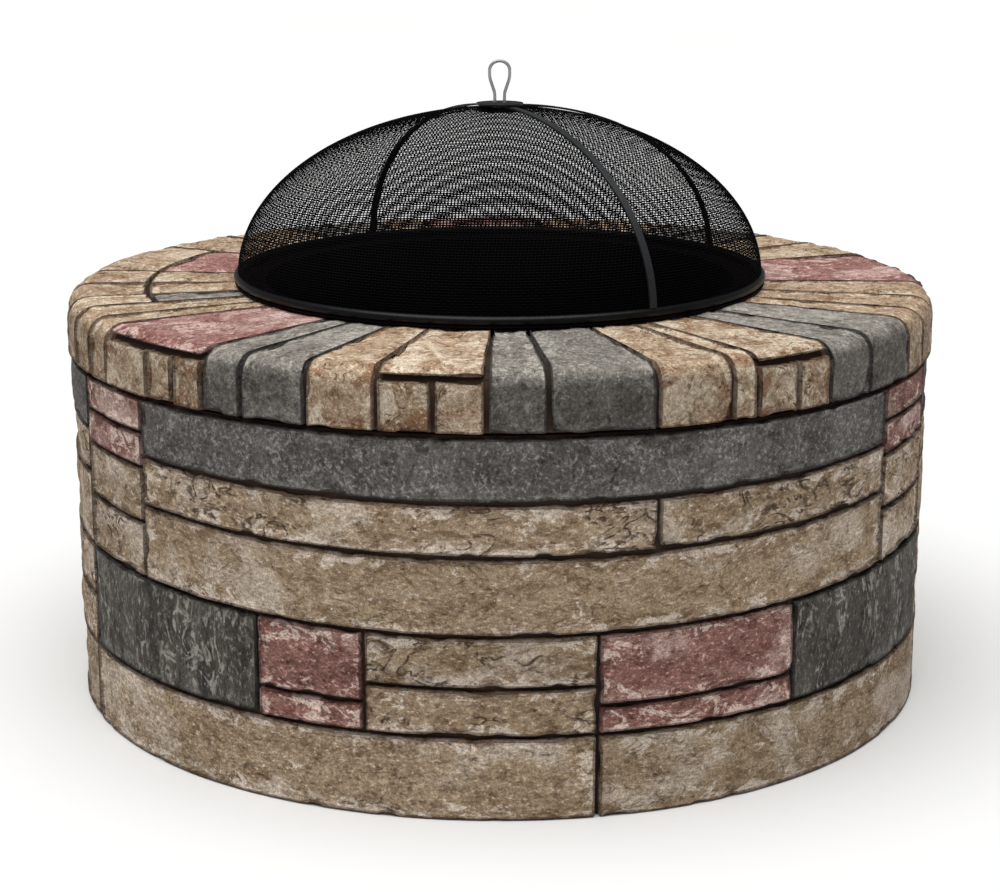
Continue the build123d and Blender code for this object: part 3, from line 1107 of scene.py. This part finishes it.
# ---- spark screen ----------------------------------------------------------------------------
@dataclass(frozen=True)
class Dome:
    """Half an ellipsoid over the hoop, which the mesh follows."""

    rim: float
    rise: float
    level: float

    def point(self, radius: float, azimuth: float, lift: float = 0.0) -> Vector:
        """The point of the dome at that radius and azimuth, moved out along the normal by lift."""
        height = self.rise * math.sqrt(max(0.0, 1 - (radius / self.rim) ** 2))
        across = radius / self.rim**2
        up = height / self.rise**2
        length = math.hypot(across, up)
        radius += lift * across / length
        return on_circle(radius, azimuth, self.level + height + lift * up / length)

    def pressed(self, point: Vector, share: float) -> Vector:
        """point with its distance from the dome's surface reduced to that share."""
        height = (point.z - self.level) / self.rise
        scaled = Vector((point.x / self.rim, point.y / self.rim, height))
        normal = Vector((scaled.x / self.rim, scaled.y / self.rim, scaled.z / self.rise))
        distance = (scaled.length - 1) * scaled.length / normal.length
        return point - normal.normalized() * distance * (1 - share)

    def radii(self, start: float, first_step: float, last_step: float) -> list[float]:
        """Radii of circles that lie evenly graded steps apart along the dome.

        Args:
            start: Radius of the first circle.
            first_step: Distance along the dome between circles at the crown.
            last_step: The same at the rim.

        Returns:
            The radii, from start out to the rim.
        """
        found = [start]
        travelled = 0.0
        slices = 4000
        before = self.point(start, 0.0)
        for index in range(1, slices + 1):
            radius = self.rim - (self.rim - start) * (1 - index / slices) ** 2
            here = self.point(radius, 0.0)
            travelled += (here - before).length
            before = here
            step = first_step + (last_step - first_step) * radius / self.rim
            if travelled >= step:
                travelled -= step
                found.append(radius)
        return found


@dataclass(frozen=True)
class WovenMesh:
    """Plain-woven wire cloth cut into gores."""

    pitch: float = 3.0 * MM
    crown_pitch: float = 4.2 * MM  # between the wires round the dome, drawn apart at its crown
    rim_pitch: float = 2.4 * MM  # the same, closed up at its rim
    wire: float = 1.25 * MM  # width of the rolled wire
    flatness: float = 0.26  # its thickness as a share of its width
    crimp: float = 0.6 * MM  # swing to either side at a crossing, before the cloth is rolled
    crown_hole: float = 9.0 * MM

    def warp(
        self, dome: Dome, middle: float, half: float, circles: Sequence[float]
    ) -> Iterator[list[Vector]]:
        """Wires that run down the gore beside its middle line.

        Args:
            dome: The surface.
            middle: Azimuth of the gore's middle line.
            half: Half the gore's angle.
            circles: Radii of the weft wires.

        Yields:
            The points of each wire.
        """
        count = int(dome.rim * math.sin(half) / self.pitch)
        for index in range(-count, count + 1):
            aside = index * self.pitch
            first = max(circles[0], abs(aside) / math.sin(half))
            if first >= dome.rim - self.pitch:
                continue
            points = [dome.point(first, middle + math.asin(aside / first))]
            for row, radius in enumerate(circles):
                if radius > first + self.wire:
                    lift = self.crimp * (1 if (index + row) % 2 else -1)
                    points.append(dome.point(radius, middle + math.asin(aside / radius), lift))
            yield points

    def weft(
        self, dome: Dome, middle: float, half: float, circles: Sequence[float]
    ) -> Iterator[list[Vector]]:
        """Wires that run across the gore, round the dome.

        Args:
            dome: The surface.
            middle: Azimuth of the gore's middle line.
            half: Half the gore's angle.
            circles: Radii of the wires.

        Yields:
            The points of each wire.
        """
        for row, radius in enumerate(circles):
            count = int(radius * math.sin(half) / self.pitch - 0.2)
            points = [dome.point(radius, middle - half)]
            for index in range(-count, count + 1):
                lift = self.crimp * (-1 if (index + row) % 2 else 1)
                turn = math.asin(index * self.pitch / radius)
                points.append(dome.point(radius, middle + turn, lift))
            points.append(dome.point(radius, middle + half))
            yield points

    def gore(
        self, name: str, dome: Dome, start: float, end: float, material: bpy.types.Material
    ) -> bpy.types.Object:
        """One gore of real woven wires, as a mesh.

        Args:
            name: The new object's name.
            dome: The surface.
            start: Azimuth of its first edge.
            end: Azimuth of its second edge.
            material: The wire's material.

        Returns:
            The new object.
        """
        middle = (start + end) / 2
        half = (end - start) / 2
        circles = dome.radii(self.crown_hole, self.crown_pitch, self.rim_pitch)
        curve = bpy.data.curves.new(name, "CURVE")
        curve.dimensions = "3D"
        curve.bevel_depth = self.wire / 2
        curve.bevel_resolution = 0
        curve.use_fill_caps = True
        wires = [*self.warp(dome, middle, half, circles), *self.weft(dome, middle, half, circles)]
        for points in wires:
            spline = curve.splines.new("POLY")
            spline.points.add(len(points) - 1)
            flat = [value for point in points for value in (*point, 1.0)]
            spline.points.foreach_set("co", flat)
        template = linked(f"{name}_wires", curve)
        solid = template.evaluated_get(bpy.context.evaluated_depsgraph_get())
        mesh = bpy.data.meshes.new_from_object(solid)
        bpy.data.objects.remove(template)
        mesh.name = name
        for vert in mesh.vertices:
            vert.co = dome.pressed(vert.co, self.flatness)
        mesh.polygons.foreach_set("use_smooth", [True] * len(mesh.polygons))
        mesh.materials.clear()
        mesh.materials.append(material)
        return linked(name, mesh)


@dataclass(frozen=True)
class SparkScreen:
    """The lift-off screen: hoop, woven gores, straps, crown plates and loop."""

    cloth: WovenMesh = WovenMesh()
    shell: float = 1.0 * MM  # thickness of the CAD's stand-in for the mesh

    def build(self, nodes: Nodes) -> None:
        """Weaves the gores and finishes the rest."""
        low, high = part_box("screen_hoop")
        wire = (high.z - low.z) / 2
        gores = sorted(name for name in nodes if name.startswith("mesh_gore_"))
        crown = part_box(gores[0])[1].z
        dome = Dome(high.x - wire, crown - self.shell / 2 - low.z - wire, low.z + wire)
        material = BLACK_WIRE.material()
        for name in gores:
            sector = sectors(nodes[name])[0]
            piece = self.cloth.gore(f"{name}_woven", dome, sector.start, sector.end, material)
            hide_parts(name)
            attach(piece, "spark_screen")
            report(piece)
        ribs = sorted(name for name in nodes if name.startswith("screen_rib_"))
        frame = ["screen_hoop", "crown_plate", "inner_crown_plate", *ribs[1:]]
        paint(nodes, frame, SATIN_BLACK.material())
        # the first strap gets the lighter copy of the black paint as a painted sheen; the other
        # straps stay satin black
        paint(nodes, ribs[:1], SHEEN_STRAP_BLACK.material())
        paint(nodes, ("lift_loop",), BRIGHT_WIRE.material())


# ---- studio ----------------------------------------------------------------------------------
@dataclass(frozen=True)
class Studio:
    """Pale floor, soft light and the camera."""

    floor_size: float = 60.0
    sky: float = 0.16
    sun: float = 3.4
    sun_width: float = math.radians(70)
    sun_tilt: Triple = (math.radians(12), math.radians(-5), 0.0)
    stand_off: float = 5.178  # the camera's distance in front of the axis, in coping radii
    eye_height: float = 1.854  # its height, in coping radii
    pitch: float = 0.2494
    lens: float = 80.86
    shift: tuple[float, float] = (0.00035, -0.0036)

    def floor(self) -> None:
        """Lays the floor that the pit stands on."""
        bm = bmesh.new()
        bmesh.ops.create_grid(bm, x_segments=8, y_segments=8, size=self.floor_size / 2)
        graph = Graph("pale_floor")
        tint = graph.span(graph.noise(graph.place(), 0.7, 2.0), 0.3, 0.7)
        colour = graph.mix(tint, display(240, 240, 239), display(237, 237, 236))
        floor = to_object("floor", bm, graph.close(colour, 0.9, specular=0.1))

    def light(self) -> None:
        """Sets a dim even sky and one broad lamp overhead."""
        world = bpy.data.worlds.new("studio")
        world.use_nodes = True
        background = world.node_tree.nodes["Background"]
        background.inputs["Color"].default_value = (1.0, 1.0, 1.0, 1.0)
        background.inputs["Strength"].default_value = self.sky
        bpy.context.scene.world = world
        lamp = bpy.data.lights.new("soft_sun", "SUN")
        lamp.energy = self.sun
        lamp.angle = self.sun_width
        sun = linked("soft_sun", lamp)
        sun.rotation_euler = self.sun_tilt

    def camera(self, radius: float) -> None:
        """Places the camera, in terms of the coping's radius."""
        data = bpy.data.cameras.new("camera")
        data.sensor_width = 36.0
        data.lens = self.lens
        data.shift_x, data.shift_y = self.shift
        data.clip_end = self.floor_size
        camera = linked("camera", data)
        camera.location = (0.0, -self.stand_off * radius, self.eye_height * radius)
        camera.rotation_euler = (math.pi / 2 - self.pitch, 0.0, 0.0)
        bpy.context.scene.camera = camera

    def build(self) -> None:
        """Sets up the whole studio."""
        scene = bpy.context.scene
        scene.view_settings.view_transform = "Standard"
        scene.view_settings.look = "None"
        self.floor()
        self.light()
        self.camera(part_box("cap_buff_stones")[1].x)


def main() -> None:
    """Builds the pit, its bowl, grate and screen, and the studio round them."""
    logging.basicConfig(level=logging.INFO, format="%(name)s: %(message)s")
    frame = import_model()
    nodes = frame["nodes"]
    Masonry().build(nodes)
    Hearth().build(nodes)
    SparkScreen().build(nodes)
    Studio().build()


if __name__ == "__main__":
    main()
